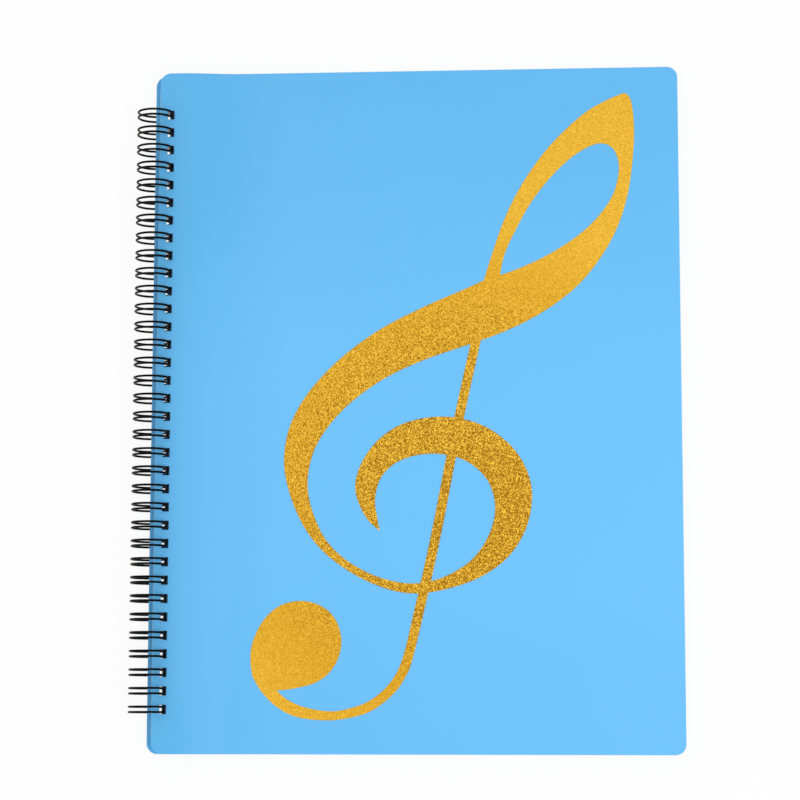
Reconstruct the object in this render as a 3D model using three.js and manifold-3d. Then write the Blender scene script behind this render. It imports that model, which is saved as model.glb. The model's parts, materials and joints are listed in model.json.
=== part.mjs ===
// Music folder: two plastic covers and a block of clear pocket pages, held by a black twin-loop wire.
//
// Units are millimetres, +Z is up. The folder lies closed on its back cover, with the wire along Y on its left,
// and the origin at the middle of its outline, on the surface that it lies on.
//
// The layout is worked out around the axis of the wire's rings: x is measured from that axis, and every sheet is
// threaded where the ring crosses the sheet's own height, so the sheets fan along the ring as bound sheets do.

import * as THREE from "three";
import { mergeVertices } from "three/addons/utils/BufferGeometryUtils.js";
import Module from "manifold-3d";

// Driving sizes.
const COVER_WIDTH = 244;
const COVER_HEIGHT = 320;
const COVER_THICKNESS = 0.8;
const COVER_CORNER = 5;

const PAGE_WIDTH = 236;
const PAGE_HEIGHT = 310;
const PAGE_CORNER = 3;
const PAGE_HOLE_MARGIN = 2.4;
const PAGE_BLOCK_THICKNESS = 3.6;

const PITCH = 25.4 / 3;
const END_MARGIN = 13;
const COVER_HOLE_MARGIN = 3.6;
const HOLE_WIDTH = 4.2;
const HOLE_HEIGHT = 4.2;

const WIRE_DIAMETER = 1.1;
const RING_RADIUS = 8.0;
const TWIN_SPACING = 2.45;
const ROOT_BEND = 0.8;
const STUB_LENGTH = 1.4;

const FILM_THICKNESS = 0.2;

// Clearances.
const SHEET_GAP = 0.2;
const SEAM_GAP = 0.25;
const TIP_GAP = 0.2;
const SPINE_LIFT = 1.9;

// Where the sheets come down from the ring to the surface, measured from the ring's axis.
const BEND_START = 11;
const BEND_END = 42;
const BEND_STEPS = 8;

// Facets.
const CORNER_FACETS = 5;
const RING_STEP = Math.PI / 8;
const TIP_FACETS = 4;
const FAN_STEPS = 8;
const SPLINE_FACETS = 3;

const wasm = await Module();
wasm.setup();

// Heights at the spine, from the surface up.
const axisHeight = RING_RADIUS + WIRE_DIAMETER / 2;
const backSpine = SPINE_LIFT;
const pagesSpine = backSpine + COVER_THICKNESS + SHEET_GAP;
const pagesTop = pagesSpine + PAGE_BLOCK_THICKNESS;
const seamHeight = pagesTop + SEAM_GAP + WIRE_DIAMETER / 2;
const frontSpine = seamHeight + WIRE_DIAMETER / 2 + SEAM_GAP;
const tipHeight = seamHeight + WIRE_DIAMETER + TIP_GAP;

// Heights where the sheets lie flat.
const backFlat = 0;
const pagesFlat = backFlat + COVER_THICKNESS + SHEET_GAP;
const frontFlat = pagesFlat + PAGE_BLOCK_THICKNESS + SHEET_GAP;
const coverTop = frontFlat + COVER_THICKNESS;

const coverInset = COVER_HOLE_MARGIN + HOLE_WIDTH / 2;
const pageInset = PAGE_HOLE_MARGIN + HOLE_WIDTH / 2;
const loopCount = Math.floor((Math.min(COVER_HEIGHT, PAGE_HEIGHT) - 2 * END_MARGIN) / PITCH) + 1;
const wireHalf = (WIRE_DIAMETER * Math.sqrt(Math.PI)) / 4;
const loopY = (i) => (i - (loopCount - 1) / 2) * PITCH;

// x where the ring's centreline crosses a height, on the sheets' side.
const ringX = (z) => Math.sqrt(RING_RADIUS ** 2 - (z - axisHeight) ** 2);

// 1 at the spine and 0 where the sheets lie flat, along a half cosine.
const lift = (x) => {
  const share = THREE.MathUtils.clamp((x - BEND_START) / (BEND_END - BEND_START), 0, 1);
  return (1 + Math.cos(Math.PI * share)) / 2;
};

const bendXs = Array.from(
  { length: BEND_STEPS + 1 },
  (_, i) => BEND_START + ((BEND_END - BEND_START) * i) / BEND_STEPS,
);

const backEdge = ringX(backSpine + COVER_THICKNESS / 2) - coverInset;
const frontEdge = ringX(frontSpine + COVER_THICKNESS / 2) - coverInset;

// A three.js geometry as a solid.
function solid(geometry) {
  const bare = geometry.clone();
  bare.deleteAttribute("normal");
  bare.deleteAttribute("uv");
  const merged = mergeVertices(bare, 1e-4);
  return new wasm.Manifold(
    new wasm.Mesh({
      numProp: 3,
      vertProperties: merged.getAttribute("position").array,
      triVerts: new Uint32Array(merged.index.array),
    }),
  );
}

// A solid as a three.js geometry with flat faces.
function geometry(body) {
  const mesh = body.getMesh();
  const made = new THREE.BufferGeometry();
  made.setAttribute("position", new THREE.BufferAttribute(new Float32Array(mesh.vertProperties), 3));
  made.setIndex(new THREE.BufferAttribute(new Uint32Array(mesh.triVerts), 1));
  const flat = made.toNonIndexed();
  flat.computeVertexNormals();
  return flat;
}

// A rectangle with round corners, from (left, bottom).
function roundedOutline(left, bottom, width, height, radius) {
  const right = left + width;
  const top = bottom + height;
  const outline = new THREE.Shape();
  outline.moveTo(left + radius, bottom);
  outline.lineTo(right - radius, bottom);
  outline.absarc(right - radius, bottom + radius, radius, -Math.PI / 2, 0, false);
  outline.lineTo(right, top - radius);
  outline.absarc(right - radius, top - radius, radius, 0, Math.PI / 2, false);
  outline.lineTo(left + radius, top);
  outline.absarc(left + radius, top - radius, radius, Math.PI / 2, Math.PI, false);
  outline.lineTo(left, bottom + radius);
  outline.absarc(left + radius, bottom + radius, radius, Math.PI, 1.5 * Math.PI, false);
  return outline;
}

// The row of punched holes, as paths centred on x.
function punchedHoles(x) {
  return Array.from({ length: loopCount }, (_, i) => {
    const hole = new THREE.Path();
    hole.moveTo(x - HOLE_WIDTH / 2, loopY(i) - HOLE_HEIGHT / 2);
    hole.lineTo(x - HOLE_WIDTH / 2, loopY(i) + HOLE_HEIGHT / 2);
    hole.lineTo(x + HOLE_WIDTH / 2, loopY(i) + HOLE_HEIGHT / 2);
    hole.lineTo(x + HOLE_WIDTH / 2, loopY(i) - HOLE_HEIGHT / 2);
    hole.closePath();
    return hole;
  });
}

// A section in XZ, given as [x, z] points anticlockwise seen from -Y, carried along Y.
function alongY(points, height) {
  const section = new THREE.Shape(points.map(([x, z]) => new THREE.Vector2(x, z)));
  const made = new THREE.ExtrudeGeometry(section, { depth: height, bevelEnabled: false });
  made.rotateX(Math.PI / 2);
  made.translate(0, height / 2, 0);
  return solid(made);
}

// An upright prism between two heights; fan(z) shifts each level along x.
function prism(outline, low, high, steps, fan) {
  const made = new THREE.ExtrudeGeometry(outline, {
    depth: high - low,
    steps,
    bevelEnabled: false,
    curveSegments: CORNER_FACETS,
  });
  made.translate(0, 0, low);
  const at = made.getAttribute("position");
  for (let i = 0; i < at.count; i++) at.setX(i, at.getX(i) + fan(at.getZ(i)));
  return solid(made);
}

// A cover: a sheet bent down from the spine to the flat, cut to its outline and punched.
function cover(edge, spine, flat) {
  const drop = spine - flat;
  const xs = [edge, ...bendXs, edge + COVER_WIDTH];
  const under = xs.map((x) => [x, flat + drop * lift(x)]);
  const over = under.map(([x, z]) => [x, z + COVER_THICKNESS]).reverse();
  const outline = roundedOutline(edge, -COVER_HEIGHT / 2, COVER_WIDTH, COVER_HEIGHT, COVER_CORNER);
  outline.holes = punchedHoles(edge + coverInset);
  const cutter = prism(outline, flat - 1, spine + COVER_THICKNESS + 1, 1, () => 0);
  return geometry(alongY([...under, ...over], COVER_HEIGHT + 2).intersect(cutter));
}

// The pocket pages: one block whose leaves are threaded on the ring, so its edges fan with the ring's curve.
function pocketPages() {
  const drop = pagesSpine - pagesFlat;
  const reach = PAGE_WIDTH + 4 * PAGE_CORNER;
  const under = [-reach, ...bendXs, 2 * reach].map((x) => [x, pagesFlat + drop * lift(x)]);
  const over = under.map(([x, z]) => [x, z + PAGE_BLOCK_THICKNESS]).reverse();
  const block = alongY([...under, ...over], PAGE_HEIGHT + 2);

  const bottom = -PAGE_HEIGHT / 2;
  const spineCut = roundedOutline(-pageInset, bottom, reach, PAGE_HEIGHT, PAGE_CORNER);
  spineCut.holes = punchedHoles(0);
  const foreCut = roundedOutline(PAGE_WIDTH - pageInset - reach, bottom, reach, PAGE_HEIGHT, PAGE_CORNER);
  const low = pagesFlat - 1;
  const high = pagesTop + 1;
  const spineCutter = prism(spineCut, low, high, FAN_STEPS, (z) => ringX(Math.max(z, pagesSpine)));
  const foreCutter = prism(foreCut, low, high, FAN_STEPS, (z) => ringX(z + drop));
  return geometry(block.intersect(spineCutter).intersect(foreCutter));
}

// The wire's centreline as flat comb points: u along the fingers from the root line, y along the spine.
function combPoints() {
  const root = Math.asin((seamHeight - axisHeight) / RING_RADIUS);
  const tip = Math.asin((tipHeight - axisHeight) / RING_RADIUS);
  const fingerLength = RING_RADIUS * (2 * Math.PI + root - tip);
  const half = TWIN_SPACING / 2;
  const legEnd = fingerLength - half;
  const legUs = [ROOT_BEND];
  for (let angle = 2 * RING_STEP; angle < 2 * Math.PI; angle += RING_STEP) {
    const u = RING_RADIUS * (angle + root);
    if (u > ROOT_BEND && u < legEnd - half) legUs.push(u);
  }
  legUs.push(legEnd);

  const points = [[0, loopY(0) - half - ROOT_BEND - STUB_LENGTH]];
  for (let i = 0; i < loopCount; i++) {
    const y = loopY(i);
    points.push([0, y - half - ROOT_BEND]);
    legUs.forEach((u) => points.push([u, y - half]));
    for (let k = 1; k < TIP_FACETS; k++) {
      const turn = (Math.PI * k) / TIP_FACETS;
      points.push([legEnd + half * Math.sin(turn), y - half * Math.cos(turn)]);
    }
    [...legUs].reverse().forEach((u) => points.push([u, y + half]));
    points.push([0, y + half + ROOT_BEND]);
  }
  points.push([0, loopY(loopCount - 1) + half + ROOT_BEND + STUB_LENGTH]);
  return points.map(([u, y]) => ({ angle: root - u / RING_RADIUS, u, y }));
}

// The binding wire: one wire bent into a comb and rolled round the ring's axis, with a square section of its own area.
function bindingWire() {
  const path = combPoints();
  const positions = [];
  const faces = [];
  path.forEach((point, i) => {
    const before = path[Math.max(i - 1, 0)];
    const after = path[Math.min(i + 1, path.length - 1)];
    const along = new THREE.Vector2(after.u - before.u, after.y - before.y).normalize();
    const outward = new THREE.Vector3(Math.cos(point.angle), 0, Math.sin(point.angle));
    const onward = new THREE.Vector3(Math.sin(point.angle), 0, -Math.cos(point.angle));
    const forward = onward.clone().multiplyScalar(along.x).add(new THREE.Vector3(0, along.y, 0));
    const side = new THREE.Vector3().crossVectors(forward, outward);
    const centre = outward.clone().multiplyScalar(RING_RADIUS);
    centre.y = point.y;
    centre.z += axisHeight;
    [[1, 1], [-1, 1], [-1, -1], [1, -1]].forEach(([o, s]) => {
      const corner = centre.clone().addScaledVector(outward, o * wireHalf).addScaledVector(side, s * wireHalf);
      positions.push(corner.x, corner.y, corner.z);
    });
    if (i === 0) return;
    const a = 4 * (i - 1);
    const b = 4 * i;
    for (let k = 0; k < 4; k++) {
      const n = (k + 1) % 4;
      faces.push(a + k, a + n, b + n, a + k, b + n, b + k);
    }
  });
  const last = 4 * (path.length - 1);
  faces.push(0, 2, 1, 0, 3, 2);
  faces.push(last, last + 1, last + 2, last, last + 2, last + 3);
  const made = new THREE.BufferGeometry();
  made.setAttribute("position", new THREE.Float32BufferAttribute(positions, 3));
  made.setIndex(faces);
  const flat = made.toNonIndexed();
  flat.computeVertexNormals();
  return flat;
}

// The treble clef's outline, in millimetres from the lower left corner of a cover of this height. Each list is one
// smooth stretch, and the clef grows with the cover.
const CLEF_COVER_HEIGHT = 315;
const CLEF_RISE = [
  [103, 100.5], [96.5, 107], [91.8, 118.5], [93.4, 129], [99.8, 139.7], [108.5, 147], [118, 151], [130, 152.7],
  [142, 151.3], [154, 146.3], [165, 136.5], [171.2, 124], [171.9, 112], [168.6, 99.5], [161, 88.3], [150, 80.2],
  [138, 75.4], [124, 72.4], [112, 72.8], [99, 77], [87, 83.6], [76.5, 92], [68, 103.2], [61.8, 117.5], [59, 132],
  [61, 147], [67.5, 160.6], [77.5, 173], [90, 184.3], [105.5, 194.8], [124, 204], [142, 211.7], [150.6, 215.6],
];
const CLEF_LOOP_OUTER = [
  [150.6, 215.6], [154.3, 227.5], [160.3, 244.5], [168.8, 261.3], [181, 278.2], [196, 292.6], [207, 299.3],
  [215.6, 302.9],
];
const CLEF_LOOP_INNER = [
  [215.6, 302.9], [218.6, 299.8], [220, 288], [219.4, 273], [216.7, 254.5], [211.4, 238.5], [203, 224],
  [192, 211.3], [177, 200.3], [161, 192.2], [144, 186], [128, 180.7], [114, 175.1], [101.5, 168.4], [89, 159],
  [79, 148.2], [72.6, 137], [69.9, 124], [71.6, 111.5], [77.6, 97.8], [86.5, 88.3], [98.5, 81.2], [111, 77.3],
  [122, 76.9], [133, 79.9], [144, 86.6], [151.5, 96.3], [155.3, 108], [154.2, 118.5], [149.5, 126.7],
  [141, 132.9], [130, 135.6], [118.5, 134.8], [109, 130.8], [103, 124], [100.8, 115], [101.6, 107.5], [103, 100.5],
];
const CLEF_EYE = [
  [158, 218], [166, 220.7], [179, 226.6], [192.5, 235], [202.5, 244], [209.6, 254], [212.5, 263.5], [212.6, 271],
  [210, 277], [204.5, 279.2], [197.5, 276.9], [189, 271], [179.7, 261.5], [171.5, 250.4], [165.3, 239],
  [160.2, 227.9], [158, 218],
];
const STEM_LEFT = [
  [144.8, 188], [135.6, 146], [126.5, 99.4], [118.5, 63.4], [113.2, 42], [107.4, 31.4], [99, 24.2], [90.5, 20.8],
  [80.9, 19.2], [69, 21.1], [61, 24.7], [56.5, 28.6],
];
const STEM_RIGHT = [
  [45.4, 35], [49.6, 28], [56.6, 21.2], [66, 16.6], [81, 15.2], [94, 17.4], [102, 21], [110.1, 27.8], [115, 35],
  [117.8, 42], [123, 63.4], [131, 99.4], [140, 146], [149.2, 188],
];
const BALL = [
  [56.5, 28.6], [63, 29.2], [73.2, 31.7], [79.6, 35.8], [84, 42.2], [85.8, 50.5], [83.6, 59.4], [77.6, 66],
  [68, 68.9], [58, 66.9], [50.4, 60.4], [45.6, 51], [44.4, 43], [45.4, 35],
];

// Smooth stretches joined end to end, as the points of one closed outline.
function smoothOutline(stretches) {
  const path = new THREE.Path();
  path.moveTo(...stretches[0][0]);
  stretches.forEach((points) => {
    path.splineThru(points.slice(1).map(([x, y]) => new THREE.Vector2(x, y)));
  });
  const points = path.getPoints(SPLINE_FACETS);
  return points[0].equals(points.at(-1)) ? points.slice(0, -1) : points;
}

// A sheet of the glitter film with this outline.
function film(outline) {
  return solid(new THREE.ExtrudeGeometry(outline, { depth: FILM_THICKNESS, bevelEnabled: false }));
}

// The treble clef in glitter film, cut in one piece, on the flat of the front cover.
function clefFilm() {
  const swirl = new THREE.Shape(smoothOutline([CLEF_RISE, CLEF_LOOP_OUTER, CLEF_LOOP_INNER]));
  swirl.holes = [new THREE.Path(smoothOutline([CLEF_EYE]))];
  const stem = new THREE.Shape(smoothOutline([STEM_LEFT, BALL, STEM_RIGHT]));
  const made = geometry(film(swirl).add(film(stem)));
  const growth = COVER_HEIGHT / CLEF_COVER_HEIGHT;
  made.scale(growth, growth, 1);
  made.translate(frontEdge, -COVER_HEIGHT / 2, coverTop);
  return made;
}

// Colours and finishes.
const bluePlastic = new THREE.MeshStandardMaterial({ color: 0x74c4fc, roughness: 0.45, metalness: 0 });
const clearPlastic = new THREE.MeshStandardMaterial({ color: 0xe8eef2, roughness: 0.25, metalness: 0 });
const blackWire = new THREE.MeshStandardMaterial({ color: 0x111214, roughness: 0.35, metalness: 0.3 });
const goldGlitter = new THREE.MeshStandardMaterial({ color: 0xdca528, roughness: 0.4, metalness: 0.7 });

const folder = new THREE.Group();
function add(name, shape, material) {
  const mesh = new THREE.Mesh(shape, material);
  mesh.name = name;
  folder.add(mesh);
}
add("back_cover", cover(backEdge, backSpine, backFlat), bluePlastic);
add("pocket_pages", pocketPages(), clearPlastic);
add("binding_wire", bindingWire(), blackWire);
add("front_cover", cover(frontEdge, frontSpine, frontFlat), bluePlastic);
add("treble_clef", clefFilm(), goldGlitter);

// The outline runs from the rings' outer side to the front cover's fore-edge.
const ringSide = -(RING_RADIUS + wireHalf);
const foreEdge = frontEdge + COVER_WIDTH;
folder.position.x = -(ringSide + foreEdge) / 2;

export default folder;
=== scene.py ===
"""A wire-bound music folder: covers, pocket sheets, twin-loop wire and a glitter treble clef."""

import json
import math

import bpy
import numpy as np
from bpy.props import FloatProperty, FloatVectorProperty, IntProperty, PointerProperty
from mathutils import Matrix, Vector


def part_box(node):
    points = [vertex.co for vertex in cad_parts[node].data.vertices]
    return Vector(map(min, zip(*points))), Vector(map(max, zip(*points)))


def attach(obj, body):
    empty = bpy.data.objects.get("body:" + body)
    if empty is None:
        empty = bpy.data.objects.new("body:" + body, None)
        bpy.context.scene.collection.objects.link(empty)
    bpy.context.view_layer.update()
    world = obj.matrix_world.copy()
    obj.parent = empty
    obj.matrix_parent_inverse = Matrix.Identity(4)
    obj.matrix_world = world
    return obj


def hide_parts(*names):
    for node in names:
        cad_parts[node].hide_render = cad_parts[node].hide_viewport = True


bl_info = {
    "name": "Wire-bound music folder",
    "version": (1, 0, 0),
    "blender": (4, 5, 0),
    "location": "View3D > Sidebar > Folder",
    "description": "Makes the sheets, the binding wire and the finishes of a wire-bound music folder",
    "category": "Add Mesh",
}

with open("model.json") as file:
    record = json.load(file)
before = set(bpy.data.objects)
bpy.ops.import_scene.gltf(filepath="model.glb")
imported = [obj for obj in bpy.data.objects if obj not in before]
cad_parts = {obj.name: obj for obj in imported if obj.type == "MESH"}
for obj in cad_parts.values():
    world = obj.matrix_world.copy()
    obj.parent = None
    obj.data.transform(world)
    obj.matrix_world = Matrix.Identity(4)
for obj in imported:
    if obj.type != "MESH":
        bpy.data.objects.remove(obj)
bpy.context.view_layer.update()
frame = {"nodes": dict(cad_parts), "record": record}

MM = 0.001
# A point on the axis of the rings, about which both covers turn.
AXIS = frame["record"]["behaviour"]["joints"][0]["pos_m"]

# Centres of the clef's painted sheen: where the film is painted darkest, as painted shade, and where its
# flakes are painted with most contrast, as painted glints.
PAINTED_SHADE_MIDDLE = (30 * MM, -50 * MM, 5 * MM)
PAINTED_GLINT_MIDDLE = (20 * MM, -35 * MM, 5 * MM)

# Each lamp's name, place and side in metres, and watts.
LAMPS = (
    ("key", (0.75, -0.45, 1.5), 0.9, 11.5),
    ("fill", (-0.9, 0.5, 1.4), 1.2, 3.0),
)
AIR_STRENGTH = 0.60
FLOOR_HALF = 3.0
FLOOR_GAP = 0.1 * MM
FLOOR_GLOW = 0.9
FLOOR_PAPER = (0.93, 0.93, 0.93, 1.0)
WHITE = (1.0, 1.0, 1.0, 1.0)

# The camera's place in metres, its turn in degrees, and its lens and sensor in millimetres.
CAMERA_PLACE = (0.0762, -0.1512, 1.1317)
CAMERA_TURN = (7.787, 3.996, 0.098)
CAMERA_LENS = 110.4
CAMERA_SENSOR = 36.0


# Sizes and colours that a user would change.


class FolderSizes(bpy.types.PropertyGroup):
    """The folder's sizes. The outlines of the covers and pages come from the model itself."""

    cover_thickness: FloatProperty(
        name="Cover", description="Thickness of a cover", default=0.8 * MM, subtype="DISTANCE", unit="LENGTH"
    )
    cover_corner: FloatProperty(
        name="Cover corner", description="Radius of a cover's corners", default=5 * MM, unit="LENGTH"
    )
    page_corner: FloatProperty(
        name="Page corner", description="Radius of a pocket sheet's corners", default=3 * MM, unit="LENGTH"
    )
    page_fan: FloatProperty(
        name="Page block",
        description="Thickness of the pocket sheets together",
        default=3.6 * MM,
        unit="LENGTH",
    )
    leaf_count: IntProperty(name="Pocket sheets", description="Number of pocket sheets", default=30, min=2)
    leaf_thickness: FloatProperty(
        name="Pocket sheet", description="Thickness of one pocket sheet", default=0.075 * MM, unit="LENGTH"
    )
    bend_start: FloatProperty(
        name="Bend start", description="Where the sheets start to come down", default=11 * MM, unit="LENGTH"
    )
    bend_end: FloatProperty(
        name="Bend end", description="Where the sheets reach the flat", default=42 * MM, unit="LENGTH"
    )
    loop_count: IntProperty(name="Loops", description="Number of twin loops", default=34, min=1)
    pitch: FloatProperty(
        name="Pitch", description="Spacing of the loops", default=25.4 / 3 * MM, unit="LENGTH"
    )
    hole_size: FloatProperty(
        name="Hole", description="Side of a punched hole", default=4.2 * MM, unit="LENGTH"
    )
    cover_hole: FloatProperty(
        name="Cover hole", description="Width of a hole across a cover", default=3.2 * MM, unit="LENGTH"
    )
    cover_margin: FloatProperty(
        name="Cover margin", description="From a cover's edge to its holes", default=3.6 * MM, unit="LENGTH"
    )
    page_margin: FloatProperty(
        name="Page margin",
        description="From a pocket sheet's edge to its holes",
        default=2.4 * MM,
        unit="LENGTH",
    )
    edge_rounding: FloatProperty(
        name="Edge rounding", description="Rounding of a cover's cut edges", default=0.16 * MM, unit="LENGTH"
    )
    spine_weld: FloatProperty(
        name="Spine weld",
        description="From a pocket sheet's edge to the weld beside the holes",
        default=14 * MM,
        unit="LENGTH",
    )
    edge_weld: FloatProperty(
        name="Edge welds",
        description="From a pocket sheet's outer edges to their welds",
        default=2.2 * MM,
        unit="LENGTH",
    )
    pocket_inset: FloatProperty(
        name="Pocket inset",
        description="From a pocket sheet's edge at the spine to the pocket's front",
        default=12.6 * MM,
        unit="LENGTH",
    )
    pocket_side: FloatProperty(
        name="Pocket side",
        description="From a pocket sheet's fore-edge to the pocket's front",
        default=0.6 * MM,
        unit="LENGTH",
    )
    pocket_mouth: FloatProperty(
        name="Pocket mouth",
        description="From a pocket sheet's top to the pocket's mouth",
        default=9 * MM,
        unit="LENGTH",
    )
    pocket_foot: FloatProperty(
        name="Pocket foot",
        description="From a pocket sheet's foot to the pocket's front",
        default=1 * MM,
        unit="LENGTH",
    )
    pocket_corner: FloatProperty(
        name="Pocket corner",
        description="Radius of the corners of the pocket's front",
        default=0.6 * MM,
        unit="LENGTH",
    )
    wire_diameter: FloatProperty(
        name="Wire", description="Diameter of the binding wire", default=1.1 * MM, unit="LENGTH"
    )
    wire_trim: FloatProperty(
        name="Wire trim",
        description="Taken off the wire's radius, to keep to the model's size",
        default=0.03 * MM,
        unit="LENGTH",
    )
    wire_stub: FloatProperty(
        name="Wire stub", description="Straight end past the outer loops", default=1.4 * MM, unit="LENGTH"
    )
    ring_radius: FloatProperty(
        name="Ring",
        description="Radius of the rings along the wire's middle",
        default=8.0 * MM,
        unit="LENGTH",
    )
    twin_spacing: FloatProperty(
        name="Twin spacing", description="Between the two wires of a loop", default=2.45 * MM, unit="LENGTH"
    )
    root_bend: FloatProperty(
        name="Root bend", description="Radius of the bends at a loop's root", default=0.8 * MM, unit="LENGTH"
    )
    seam_height: FloatProperty(
        name="Seam", description="Height of the loops' roots over the table", default=7.3 * MM, unit="LENGTH"
    )
    tip_height: FloatProperty(
        name="Tips", description="Height of the loops' tips over the table", default=8.6 * MM, unit="LENGTH"
    )


class FolderColours(bpy.types.PropertyGroup):
    """The folder's colours, as linear values."""

    cover: FloatVectorProperty(
        name="Cover", description="Plastic of the covers", default=(0.143, 0.546, 0.985), subtype="COLOR"
    )
    # Painted shade: the cover's colour where shade is painted, at the spine and towards the top and bottom
    # ends.
    cover_painted_shade: FloatVectorProperty(
        name="Deeper tone",
        description="Plastic at the spine and the ends",
        default=(0.099, 0.462, 0.85),
        subtype="COLOR",
    )
    # Partly a painted highlight: the covers' cut edges are made paler, partly as cut plastic and partly to
    # paint the highlight along the edge.
    cut_edge: FloatVectorProperty(
        name="Cut edge", description="Cut edges of the covers", default=(0.30, 0.66, 0.98), subtype="COLOR"
    )
    film: FloatVectorProperty(
        name="Film", description="Film of the pockets", default=(0.88, 0.91, 0.925), subtype="COLOR"
    )
    weld: FloatVectorProperty(
        name="Weld", description="Film where it is welded", default=(0.56, 0.63, 0.68), subtype="COLOR"
    )
    wire: FloatVectorProperty(
        name="Wire", description="Coating of the wire", default=(0.0012, 0.0012, 0.0014), subtype="COLOR"
    )
    wire_rubbed: FloatVectorProperty(
        name="Rubbed wire", description="Rubbed coating", default=(0.006, 0.006, 0.007), subtype="COLOR"
    )
    flake_dark: FloatVectorProperty(
        name="Dark flakes",
        description="Glitter flakes in shade",
        default=(0.30, 0.135, 0.003),
        subtype="COLOR",
    )
    flake: FloatVectorProperty(
        name="Flakes", description="Most glitter flakes", default=(0.66, 0.335, 0.014), subtype="COLOR"
    )
    flake_light: FloatVectorProperty(
        name="Bright flakes",
        description="Glitter flakes that shine",
        default=(0.98, 0.62, 0.07),
        subtype="COLOR",
    )


# Shader maths as expressions.


class Term:
    """A number in a material, so that an expression on it adds its Math nodes."""

    def __init__(self, nodes, socket):
        self.nodes = nodes
        self.socket = socket

    def _maths(self, operation, a, b):
        node = self.nodes.add("ShaderNodeMath", {"operation": operation}, {0: a, 1: b})
        return Term(self.nodes, node.outputs[0])

    def __add__(self, other):
        return self._maths("ADD", self, other)

    __radd__ = __add__

    def __sub__(self, other):
        return self._maths("SUBTRACT", self, other)

    def __rsub__(self, other):
        return self._maths("SUBTRACT", other, self)

    def __mul__(self, other):
        return self._maths("MULTIPLY", self, other)

    __rmul__ = __mul__

    def least(self, other):
        return self._maths("MINIMUM", self, other)

    def most(self, other):
        return self._maths("MAXIMUM", self, other)

    def size(self):
        return self._maths("ABSOLUTE", self, 0.0)


class Nodes:
    """The nodes of a material or a world.

    add() takes a node's type, its settings and the values or links of its sockets.
    """

    def __init__(self, owner):
        owner.use_nodes = True
        self.tree = owner.node_tree
        self.tree.nodes.clear()

    def add(self, kind, settings=None, inputs=None):
        node = self.tree.nodes.new(kind)
        for key, value in (settings or {}).items():
            if key == "stops":
                self._stops(node.color_ramp, value)
            else:
                setattr(node, key, value)
        for key, value in (inputs or {}).items():
            value = value.socket if isinstance(value, Term) else value
            if isinstance(value, bpy.types.NodeSocket):
                self.tree.links.new(value, node.inputs[key])
            else:
                node.inputs[key].default_value = value
        return node

    def _stops(self, ramp, stops):
        while len(ramp.elements) < len(stops):
            ramp.elements.new(0.5)
        for element, (position, colour) in zip(ramp.elements, stops):
            element.position = position
            element.color = (*colour, 1.0)

    def place(self):
        """The piece's own coordinates, in metres."""
        return self.add("ShaderNodeTexCoord").outputs["Object"]

    def axes(self, place):
        """x, y and z of a place, as terms."""
        split = self.add("ShaderNodeSeparateXYZ", None, {0: place})
        return [Term(self, socket) for socket in split.outputs]

    def distance(self, place, point):
        """How far a place is from a point, in metres."""
        node = self.add("ShaderNodeVectorMath", {"operation": "DISTANCE"}, {0: place, 1: point})
        return Term(self, node.outputs["Value"])

    def noise(self, place, scale, detail, roughness=0.5):
        node = self.add(
            "ShaderNodeTexNoise",
            None,
            {"Vector": place, "Scale": scale, "Detail": detail, "Roughness": roughness},
        )
        return Term(self, node.outputs["Fac"])

    def between(self, value, low, high, smooth=True):
        """0 below low, 1 above high, with a soft or a straight ramp between."""
        node = self.add(
            "ShaderNodeMapRange",
            {"interpolation_type": "SMOOTHSTEP" if smooth else "LINEAR"},
            {"Value": value, "From Min": low, "From Max": high, "To Min": 0.0, "To Max": 1.0},
        )
        return Term(self, node.outputs["Result"])

    def blend(self, factor, a, b):
        """Colour a turning into colour b. The node's sockets 6, 7 and 2 are its colours A, B and Result."""
        node = self.add("ShaderNodeMix", {"data_type": "RGBA"}, {"Factor": factor})
        for key, value in ((6, a), (7, b)):
            if isinstance(value, bpy.types.NodeSocket):
                self.tree.links.new(value, node.inputs[key])
            else:
                node.inputs[key].default_value = (*value, 1.0)
        return node.outputs[2]

    def bump(self, height, strength, distance, normal=None):
        inputs = {"Height": height, "Strength": strength, "Distance": distance}
        if normal is not None:
            inputs["Normal"] = normal
        return self.add("ShaderNodeBump", None, inputs).outputs["Normal"]

    def surface(self, **sockets):
        """A Principled shader and the material's output."""
        names = {key.replace("_", " "): value for key, value in sockets.items()}
        shader = self.add("ShaderNodeBsdfPrincipled", None, names)
        self.add("ShaderNodeOutputMaterial", None, {"Surface": shader.outputs[0]})


# Shapes on grids.


def lift(x, sizes):
    """1 at the spine and 0 where the sheets lie flat, along a half cosine. x is from the ring's axis."""
    share = np.clip((x - sizes.bend_start) / (sizes.bend_end - sizes.bend_start), 0, 1)
    return (1 + np.cos(np.pi * share)) / 2


def ring_x(z, sizes):
    """x where a ring crosses a height, from the ring's axis: the circle's own equation."""
    return math.sqrt(sizes.ring_radius**2 - (z - AXIS[2]) ** 2)


def loop_places(sizes):
    """y of each loop, evenly spaced about the folder's middle."""
    return (np.arange(sizes.loop_count) - (sizes.loop_count - 1) / 2) * sizes.pitch


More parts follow.
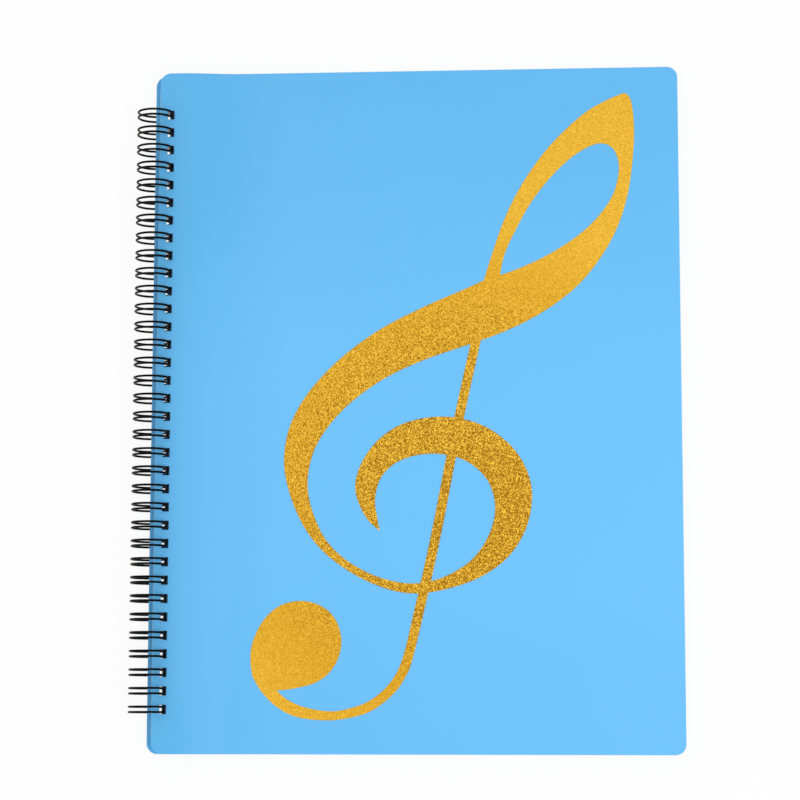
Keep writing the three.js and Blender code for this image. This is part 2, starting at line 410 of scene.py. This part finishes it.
def sheet_grid(sizes, left, width, height, corner, spine, flat, hole, fine):
    """A punched sheet as one surface on a grid.

    The grid's lines pass through the holes' edges, and the cells inside the holes are left out. Each corner's
    square of cells is rounded by x = u sqrt(1 - v^2/2), y = v sqrt(1 - u^2/2), which maps a square on a disc.
    z is the flat height plus the drop from the spine, times the lift at that x.
    """
    corner_steps, bend_lines, flat_lines = (6, 19, 9) if fine else (3, 9, 3)
    right = left + width
    half = height / 2
    lines_x = [
        np.linspace(left, left + corner, corner_steps + 1),
        np.linspace(sizes.bend_start, sizes.bend_end, bend_lines),
        np.linspace(sizes.bend_end, right - corner, flat_lines),
        np.linspace(right - corner, right, corner_steps + 1),
    ]
    outer = np.linspace(half - corner, half, corner_steps + 1)
    lines_y = [-outer, outer, np.zeros(1)]
    if hole:
        places = loop_places(sizes)
        lines_x.append(np.array(hole))
        lines_y += [places - sizes.hole_size / 2, places + sizes.hole_size / 2]
    xs = np.unique(np.round(np.concatenate(lines_x), 7))
    ys = np.unique(np.round(np.concatenate(lines_y), 7))
    x, y = np.meshgrid(xs, ys, indexing="ij")
    u_left = np.clip((left + corner - x) / corner, 0, 1)
    u_right = np.clip((x - right + corner) / corner, 0, 1)
    u = u_left + u_right
    v = np.clip((np.abs(y) - half + corner) / corner, 0, 1)
    pull = corner * u * (1 - np.sqrt(1 - v**2 / 2))
    x = x + np.where(u_left > 0, pull, -pull)
    y = y - np.sign(y) * corner * v * (1 - np.sqrt(1 - u**2 / 2))
    z = flat + (spine - flat) * lift(x, sizes)
    points = np.stack([x + AXIS[0], y, z], -1).reshape(-1, 3)

    index = np.arange(len(points)).reshape(x.shape)
    quads = np.stack([index[:-1, :-1], index[1:, :-1], index[1:, 1:], index[:-1, 1:]], -1)
    keep = np.ones(quads.shape[:2], bool)
    if hole:
        mid_x = (xs[:-1] + xs[1:]) / 2
        mid_y = (ys[:-1] + ys[1:]) / 2
        in_x = (mid_x > hole[0]) & (mid_x < hole[1])
        in_y = (np.abs(mid_y[:, None] - places[None, :]) < sizes.hole_size / 2).any(1)
        keep &= ~(in_x[:, None] & in_y[None, :])
    return points, quads[keep]


def joined(parts):
    """Several surfaces as one: the points one after another, and the faces counted on."""
    starts = np.cumsum([0] + [len(points) for points, _ in parts[:-1]])
    points = np.concatenate([points for points, _ in parts])
    faces = np.concatenate([faces + start for (_, faces), start in zip(parts, starts)])
    return points, faces


def comb_path(sizes):
    """The wire's middle line, as points with their outward directions.

    One loop is drawn flat, u along the fingers and y along the spine: a quarter bend, a leg, a half circle at
    the tip, and the same back. It is repeated at each loop's place and rolled on the ring: the angle is the
    root's less u / radius.
    """
    bend_steps, leg_steps, tip_steps = 4, 41, 5
    radius = sizes.ring_radius
    root = math.asin((sizes.seam_height - AXIS[2]) / radius)
    tip = math.asin((sizes.tip_height - AXIS[2]) / radius)
    half = sizes.twin_spacing / 2
    bend = sizes.root_bend
    leg_end = radius * (2 * math.pi + root - tip) - half
    turn = np.linspace(np.pi, np.pi / 2, bend_steps + 1)
    bend_points = np.stack([bend + bend * np.cos(turn), -half - bend + bend * np.sin(turn)], 1)
    leg_u = np.linspace(bend, leg_end, leg_steps + 1)[1:]
    leg_points = np.stack([leg_u, np.full(len(leg_u), -half)], 1)
    round_tip = np.linspace(-np.pi / 2, 0, tip_steps + 1)[1:]
    tip_points = np.stack([leg_end + half * np.cos(round_tip), half * np.sin(round_tip)], 1)
    first = np.concatenate([bend_points, leg_points, tip_points])
    loop = np.concatenate([first, (first * [1, -1])[::-1][1:]])
    places = loop_places(sizes)
    shifts = np.stack([np.zeros(len(places)), places], 1)
    flat = (loop[None, :, :] + shifts[:, None, :]).reshape(-1, 2)
    flat = np.concatenate([[flat[0] - [0, sizes.wire_stub]], flat, [flat[-1] + [0, sizes.wire_stub]]])
    angle = root - flat[:, 0] / radius
    outward = np.stack([np.cos(angle), np.zeros(len(angle)), np.sin(angle)], 1)
    along = np.stack([np.full(len(angle), AXIS[0]), flat[:, 1], np.full(len(angle), AXIS[2])], 1)
    return along + outward * radius, outward


def tube(middle, outward, radius, sides=10):
    """A round tube: at each point of a line, a circle across the line's direction, and a cap at each end."""
    along = np.gradient(middle, axis=0)
    along /= np.linalg.norm(along, axis=1, keepdims=True)
    side = np.cross(along, outward)
    side /= np.linalg.norm(side, axis=1, keepdims=True)
    out = np.cross(side, along)
    turn = np.linspace(0, 2 * np.pi, sides, endpoint=False)
    ring = out[:, None, :] * np.cos(turn)[None, :, None] + side[:, None, :] * np.sin(turn)[None, :, None]
    points = (middle[:, None, :] + radius * ring).reshape(-1, 3)
    index = np.arange(len(points)).reshape(-1, sides)
    onward = np.roll(index, -1, axis=1)
    quads = np.stack([index[:-1], onward[:-1], onward[1:], index[1:]], -1).reshape(-1, 4)
    caps = [index[0][::-1].tolist(), index[-1].tolist()]
    return points, quads, caps


def make_piece(name, points, faces, materials, body, replaced):
    """A smooth mesh object in the row's frame, on its body, in place of the model's nodes."""
    mesh = bpy.data.meshes.new(name)
    mesh.from_pydata(points.tolist(), [], faces)
    mesh.polygons.foreach_set("use_smooth", np.ones(len(mesh.polygons), bool))
    mesh.validate()
    piece = bpy.data.objects.new(name, mesh)
    bpy.context.scene.collection.objects.link(piece)
    for material in materials:
        mesh.materials.append(material)
    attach(piece, body)
    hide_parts(*replaced)
    return piece


def thicken(piece, thickness, edge_slot=0, offset=-1.0, bevel=0.0):
    """Gives a sheet its thickness, and rounds its cut edges where bevel is given."""
    solid = piece.modifiers.new("thickness", "SOLIDIFY")
    solid.thickness = thickness
    solid.offset = offset
    solid.material_offset_rim = edge_slot
    if bevel:
        edge = piece.modifiers.new("edges", "BEVEL")
        edge.width = bevel
        edge.segments = 2
        edge.limit_method = "ANGLE"
        edge.angle_limit = math.radians(50)
        edge.harden_normals = True


# Finishes.


def frosted_sheet(colours):
    """Frosted plastic sheet: a fine grain and faint clouds, with painted shade at its spine and towards its
    top and bottom ends.
    """
    material = bpy.data.materials.new("frosted_sheet")
    nodes = Nodes(material)
    place = nodes.place()
    x, y, _ = nodes.axes(place)
    # Painted shade: flat is 0 at the spine and 1 where the sheet lies flat, so the sheet is painted darker
    # towards the spine.
    flat = nodes.between(x, AXIS[0] - 10 * MM, AXIS[0] + 70 * MM)
    # Painted shade: darker towards the top end, and half as much towards the bottom end.
    painted_end_shade = nodes.between(y, 0.0, 160 * MM) + nodes.between(0.0 - y, 60 * MM, 165 * MM) * 0.5
    clouds = nodes.noise(place, 14, 3)
    grain = nodes.noise(place, 2600, 3, 0.6)
    # The tone mixes the faint clouds, which are the plastic's own, with the painted shade.
    tone = (flat * 0.9 + clouds * 0.25 - 0.02 - painted_end_shade * 0.6).least(1.0).most(0.0)
    colour = nodes.blend(tone, colours.cover_painted_shade, colours.cover)
    specks = nodes.blend(grain * 0.10, colour, colours.cut_edge)
    nodes.surface(
        Base_Color=specks,
        Roughness=grain * 0.16 + 0.40,
        Specular_IOR_Level=0.35,
        Normal=nodes.bump(grain, 0.22, 0.04 * MM),
    )
    return material


def cut_edge(colours):
    """The cut edge of the sheet, with faint marks of the knife. It is paler than the sheet's face, partly as
    cut plastic and partly as a painted highlight along the edge.
    """
    material = bpy.data.materials.new("cut_edge")
    nodes = Nodes(material)
    place = nodes.place()
    marks = nodes.noise(place, 900, 2)
    # Partly painted highlight: the pale edge colour, mixed with the knife marks.
    colour = nodes.blend(marks * 0.5, colours.cut_edge, colours.cover)
    nodes.surface(
        Base_Color=colour,
        Roughness=marks * 0.2 + 0.3,
        Normal=nodes.bump(marks, 0.2, 0.03 * MM),
    )
    return material


def pocket_film(colours, welds):
    """Clear pocket film, milky in a stack: glossy, faintly wavy, with knurled welds along its edges.

    Each weld is an axis and the place of its line on that axis.
    """
    material = bpy.data.materials.new("pocket_film")
    nodes = Nodes(material)
    place = nodes.place()
    x, y, _ = nodes.axes(place)
    waves = nodes.noise(place, 9, 2)
    grain = nodes.noise(place, 700, 2)
    height = waves * 0.6 + grain * 0.05
    seam = 0.0
    for axis, line in welds:
        distance = ((x if axis == "x" else y) - line).size()
        seam = (1.0 - nodes.between(distance, 0.8 * MM, 1.1 * MM)).most(seam)
    knurl = nodes.add(
        "ShaderNodeTexWave",
        {"wave_type": "BANDS", "bands_direction": "DIAGONAL"},
        {"Vector": place, "Scale": 420.0},
    )
    pressed = seam * (Term(nodes, knurl.outputs["Fac"]) * 0.5 + 0.5)
    colour = nodes.blend(pressed * 0.9 + grain * 0.06, colours.film, colours.weld)
    wavy = nodes.bump(height, 0.5, 1.2 * MM)
    nodes.surface(
        Base_Color=colour,
        Roughness=seam * 0.25 + grain * 0.06 + 0.13,
        Coat_Weight=0.5,
        Coat_Roughness=0.05,
        Normal=nodes.bump(pressed, -0.6, 0.12 * MM, wavy),
    )
    return material


def coated_wire(colours):
    """Black coated wire: satin, with a slight unevenness of the coating and dull rubbed spots."""
    material = bpy.data.materials.new("coated_wire")
    nodes = Nodes(material)
    place = nodes.place()
    coating = nodes.noise(place, 1500, 3)
    rubbed = nodes.between(nodes.noise(place, 240, 4), 0.58, 0.75)
    colour = nodes.blend(rubbed * 0.4, colours.wire, colours.wire_rubbed)
    nodes.surface(
        Base_Color=colour,
        Roughness=coating * 0.15 + rubbed * 0.2 + 0.26,
        Specular_IOR_Level=0.06,
        Normal=nodes.bump(coating, 0.15, 0.03 * MM),
    )
    return material


def gold_glitter(colours):
    """Glitter film: small flakes in two sizes, each with its own tone, shine and tilt.

    A painted sheen: the flakes are painted with more contrast near the middle of the clef, and the film is
    painted darker there, as painted shade. Both fade with the distance from a point of their own.
    """
    material = bpy.data.materials.new("gold_glitter")
    nodes = Nodes(material)
    place = nodes.place()
    fine = nodes.add("ShaderNodeTexVoronoi", None, {"Vector": place, "Scale": 3300.0})
    coarse = nodes.add("ShaderNodeTexVoronoi", None, {"Vector": place, "Scale": 2450.0})
    pick_fine = nodes.axes(fine.outputs["Color"])[0]
    pick_coarse = nodes.axes(coarse.outputs["Color"])[1]
    # Painted shade and painted glints: the film is painted darker, and its flakes are spread further between
    # dark and bright, near two points of the clef.
    painted_shade = 1.0 - nodes.between(nodes.distance(place, PAINTED_SHADE_MIDDLE), 20 * MM, 140 * MM, smooth=False)
    painted_glints = 1.0 - nodes.between(nodes.distance(place, PAINTED_GLINT_MIDDLE), 35 * MM, 100 * MM, smooth=False)
    spread = pick_fine * 0.5 + pick_coarse * 0.85 - 0.675
    # The tone is each flake's own random tone, widened by the painted glints and lowered by the painted
    # shade.
    tone = spread * (painted_glints * 1.5 + 0.36) + 0.67 - painted_shade * 0.44
    ramp = nodes.add(
        "ShaderNodeValToRGB",
        {"stops": [(0.0, colours.flake_dark), (0.45, colours.flake), (1.0, colours.flake_light)]},
        {"Fac": tone},
    )
    tilt = nodes.add(
        "ShaderNodeVectorMath",
        {"operation": "SUBTRACT"},
        {0: fine.outputs["Color"], 1: (0.5, 0.5, 0.5)},
    )
    lean = nodes.add("ShaderNodeVectorMath", {"operation": "SCALE"}, {0: tilt.outputs[0], "Scale": 0.45})
    normal = nodes.add("ShaderNodeNewGeometry").outputs["Normal"]
    leaning = nodes.add("ShaderNodeVectorMath", {"operation": "ADD"}, {0: normal, 1: lean.outputs[0]})
    facing = nodes.add("ShaderNodeVectorMath", {"operation": "NORMALIZE"}, {0: leaning.outputs[0]})
    nodes.surface(
        Base_Color=ramp.outputs["Color"],
        Metallic=0.3,
        Roughness=pick_coarse * 0.25 + 0.32,
        Specular_IOR_Level=0.1,
        Normal=facing.outputs[0],
    )
    return material


def pale_floor():
    """Pale floor that shows as white to the camera and in reflections, and keeps a soft shadow."""
    material = bpy.data.materials.new("pale_floor")
    nodes = Nodes(material)
    path = nodes.add("ShaderNodeLightPath")
    direct, glossy, through = [
        Term(nodes, path.outputs[name]) for name in ("Is Camera Ray", "Is Glossy Ray", "Is Transmission Ray")
    ]
    seen = direct.most(glossy).most(through)
    paper = nodes.add("ShaderNodeBsdfDiffuse", None, {"Color": FLOOR_PAPER})
    white = nodes.add("ShaderNodeEmission", None, {"Color": WHITE, "Strength": 1.0})
    mixed = nodes.add(
        "ShaderNodeMixShader", None, {0: seen * FLOOR_GLOW, 1: paper.outputs[0], 2: white.outputs[0]}
    )
    nodes.add("ShaderNodeOutputMaterial", None, {"Surface": mixed.outputs[0]})
    return material


def finish_node(name, material):
    """Gives a node of the model its finish."""
    piece = frame["nodes"][name]
    piece.data.materials.clear()
    piece.data.materials.append(material)


# The pieces, each made by an operator.


class FOLDER_OT_covers(bpy.types.Operator):
    """Makes the front and back covers as bent, punched sheets with rounded cut edges"""

    bl_idname = "folder.covers"
    bl_label = "Covers"

    def execute(self, context):
        sizes = context.scene.folder_sizes
        colours = context.scene.folder_colours
        face = frosted_sheet(colours)
        edge = cut_edge(colours)
        for node, body in (("front_cover", "front"), ("back_cover", "back")):
            low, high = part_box(node)
            left = low.x - AXIS[0]
            hole = left + sizes.cover_margin
            points, quads = sheet_grid(
                sizes,
                left,
                high.x - low.x,
                high.y - low.y,
                sizes.cover_corner,
                high.z,
                low.z + sizes.cover_thickness,
                (hole, hole + sizes.cover_hole),
                True,
            )
            piece = make_piece(
                node + "_sheet", points, quads.tolist(), [face, edge], body, [node]
            )
            thicken(piece, sizes.cover_thickness, edge_slot=1, bevel=sizes.edge_rounding)
        return {"FINISHED"}


class FOLDER_OT_pockets(bpy.types.Operator):
    """Makes the pocket sheets one by one, threaded on the ring, with the mouth and welds of the top pocket"""

    bl_idname = "folder.pockets"
    bl_label = "Pocket sheets"

    def execute(self, context):
        sizes = context.scene.folder_sizes
        colours = context.scene.folder_colours
        low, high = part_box("pocket_pages")
        height = high.y - low.y
        spine = high.z - sizes.page_fan
        drop = spine - low.z
        inset = sizes.page_margin + sizes.hole_size / 2
        top_left = ring_x(high.z, sizes) - inset
        width = high.x - AXIS[0] - top_left
        welds = [
            ("x", AXIS[0] + top_left + sizes.spine_weld),
            ("x", AXIS[0] + top_left + width - sizes.edge_weld),
            ("y", low.y + sizes.edge_weld),
        ]
        film = pocket_film(colours, welds)
        step = sizes.page_fan / (sizes.leaf_count + 1)
        leaves = []
        for k in range(sizes.leaf_count):
            z = spine + step * (k + 0.5)
            left = ring_x(z, sizes) - inset
            hole = left + sizes.page_margin
            top = k == sizes.leaf_count - 1
            leaves.append(
                sheet_grid(
                    sizes,
                    left,
                    width,
                    height,
                    sizes.page_corner,
                    z,
                    z - drop,
                    (hole, hole + sizes.hole_size),
                    top,
                )
            )
        half = sizes.leaf_count // 2
        for name, group in (("lower_pockets", leaves[:half]), ("upper_pockets", leaves[half:])):
            points, quads = joined(group)
            piece = make_piece(
                name, points, quads.tolist(), [film], "bound_block", ["pocket_pages"]
            )
            thicken(piece, sizes.leaf_thickness, offset=0.0)
        z = high.z - step * 0.55
        points, quads = sheet_grid(
            sizes,
            top_left + sizes.pocket_inset,
            width - sizes.pocket_inset - sizes.pocket_side,
            height - sizes.pocket_mouth - sizes.pocket_foot,
            sizes.pocket_corner,
            z,
            z - drop,
            None,
            True,
        )
        points[:, 1] -= (sizes.pocket_mouth - sizes.pocket_foot) / 2
        piece = make_piece(
            "pocket_front", points, quads.tolist(), [film], "bound_block", ["pocket_pages"]
        )
        thicken(piece, sizes.leaf_thickness * 0.8, offset=0.0)
        return {"FINISHED"}


class FOLDER_OT_wire(bpy.types.Operator):
    """Makes the twin-loop wire as one round wire, bent into a comb and rolled"""

    bl_idname = "folder.wire"
    bl_label = "Binding wire"

    def execute(self, context):
        sizes = context.scene.folder_sizes
        middle, outward = comb_path(sizes)
        points, quads, caps = tube(middle, outward, sizes.wire_diameter / 2 - sizes.wire_trim)
        make_piece(
            "comb_wire",
            points,
            quads.tolist() + caps,
            [coated_wire(context.scene.folder_colours)],
            "bound_block",
            ["binding_wire"],
        )
        return {"FINISHED"}


class FOLDER_OT_clef(bpy.types.Operator):
    """Gives the treble clef on the front cover its glitter"""

    bl_idname = "folder.clef"
    bl_label = "Treble clef"

    def execute(self, context):
        finish_node("treble_clef", gold_glitter(context.scene.folder_colours))
        return {"FINISHED"}


class FOLDER_OT_stage(bpy.types.Operator):
    """Makes the floor, the light and the camera"""

    bl_idname = "folder.stage"
    bl_label = "Stage"

    def execute(self, context):
        scene = context.scene
        corners = np.array([[-1, -1, 0], [1, -1, 0], [1, 1, 0], [-1, 1, 0]]) * FLOOR_HALF
        corners[:, 2] = -FLOOR_GAP
        mesh = bpy.data.meshes.new("floor")
        mesh.from_pydata(corners.tolist(), [], [(0, 1, 2, 3)])
        mesh.materials.append(pale_floor())
        floor = bpy.data.objects.new("floor", mesh)
        scene.collection.objects.link(floor)

        world = bpy.data.worlds.new("studio")
        scene.world = world
        nodes = Nodes(world)
        path = nodes.add("ShaderNodeLightPath")
        seen = Term(nodes, path.outputs["Is Camera Ray"]).most(Term(nodes, path.outputs["Is Glossy Ray"]))
        air = nodes.add("ShaderNodeBackground", None, {"Color": WHITE, "Strength": AIR_STRENGTH})
        white = nodes.add("ShaderNodeBackground", None, {"Color": WHITE, "Strength": 1.0})
        mixed = nodes.add("ShaderNodeMixShader", None, {0: seen, 1: air.outputs[0], 2: white.outputs[0]})
        nodes.add("ShaderNodeOutputWorld", None, {"Surface": mixed.outputs[0]})

        for name, place, side, watts in LAMPS:
            light = bpy.data.lights.new(name, "AREA")
            light.size = side
            light.energy = watts
            lamp = bpy.data.objects.new(name, light)
            lamp.location = place
            towards_folder = -lamp.location
            lamp.rotation_euler = towards_folder.to_track_quat("-Z", "Y").to_euler()
            scene.collection.objects.link(lamp)

        camera = bpy.data.objects.new("camera", bpy.data.cameras.new("camera"))
        camera.data.sensor_width = CAMERA_SENSOR
        camera.data.lens = CAMERA_LENS
        camera.data.clip_start = 0.05
        camera.data.clip_end = 20.0
        camera.location = CAMERA_PLACE
        camera.rotation_euler = [math.radians(angle) for angle in CAMERA_TURN]
        scene.collection.objects.link(camera)
        scene.camera = camera
        scene.view_settings.view_transform = "Standard"
        return {"FINISHED"}


class FOLDER_PT_pieces(bpy.types.Panel):
    """Lists the folder's pieces and sizes"""

    bl_idname = "FOLDER_PT_pieces"
    bl_label = "Music folder"
    bl_space_type = "VIEW_3D"
    bl_region_type = "UI"
    bl_category = "Folder"

    def draw(self, context):
        layout = self.layout
        for operator in OPERATORS:
            layout.operator(operator.bl_idname)
        for group in (context.scene.folder_sizes, context.scene.folder_colours):
            column = layout.column(align=True)
            for name in group.__annotations__:
                column.prop(group, name)


OPERATORS = (FOLDER_OT_covers, FOLDER_OT_pockets, FOLDER_OT_wire, FOLDER_OT_clef, FOLDER_OT_stage)
CLASSES = (FolderSizes, FolderColours, *OPERATORS, FOLDER_PT_pieces)


def register():
    for cls in CLASSES:
        bpy.utils.register_class(cls)
    bpy.types.Scene.folder_sizes = PointerProperty(type=FolderSizes)
    bpy.types.Scene.folder_colours = PointerProperty(type=FolderColours)


def unregister():
    del bpy.types.Scene.folder_colours
    del bpy.types.Scene.folder_sizes
    for cls in reversed(CLASSES):
        bpy.utils.unregister_class(cls)


def main():
    register()
    bpy.ops.folder.covers()
    bpy.ops.folder.pockets()
    bpy.ops.folder.wire()
    bpy.ops.folder.clef()
    bpy.ops.folder.stage()


if __name__ == "__main__":
    main()
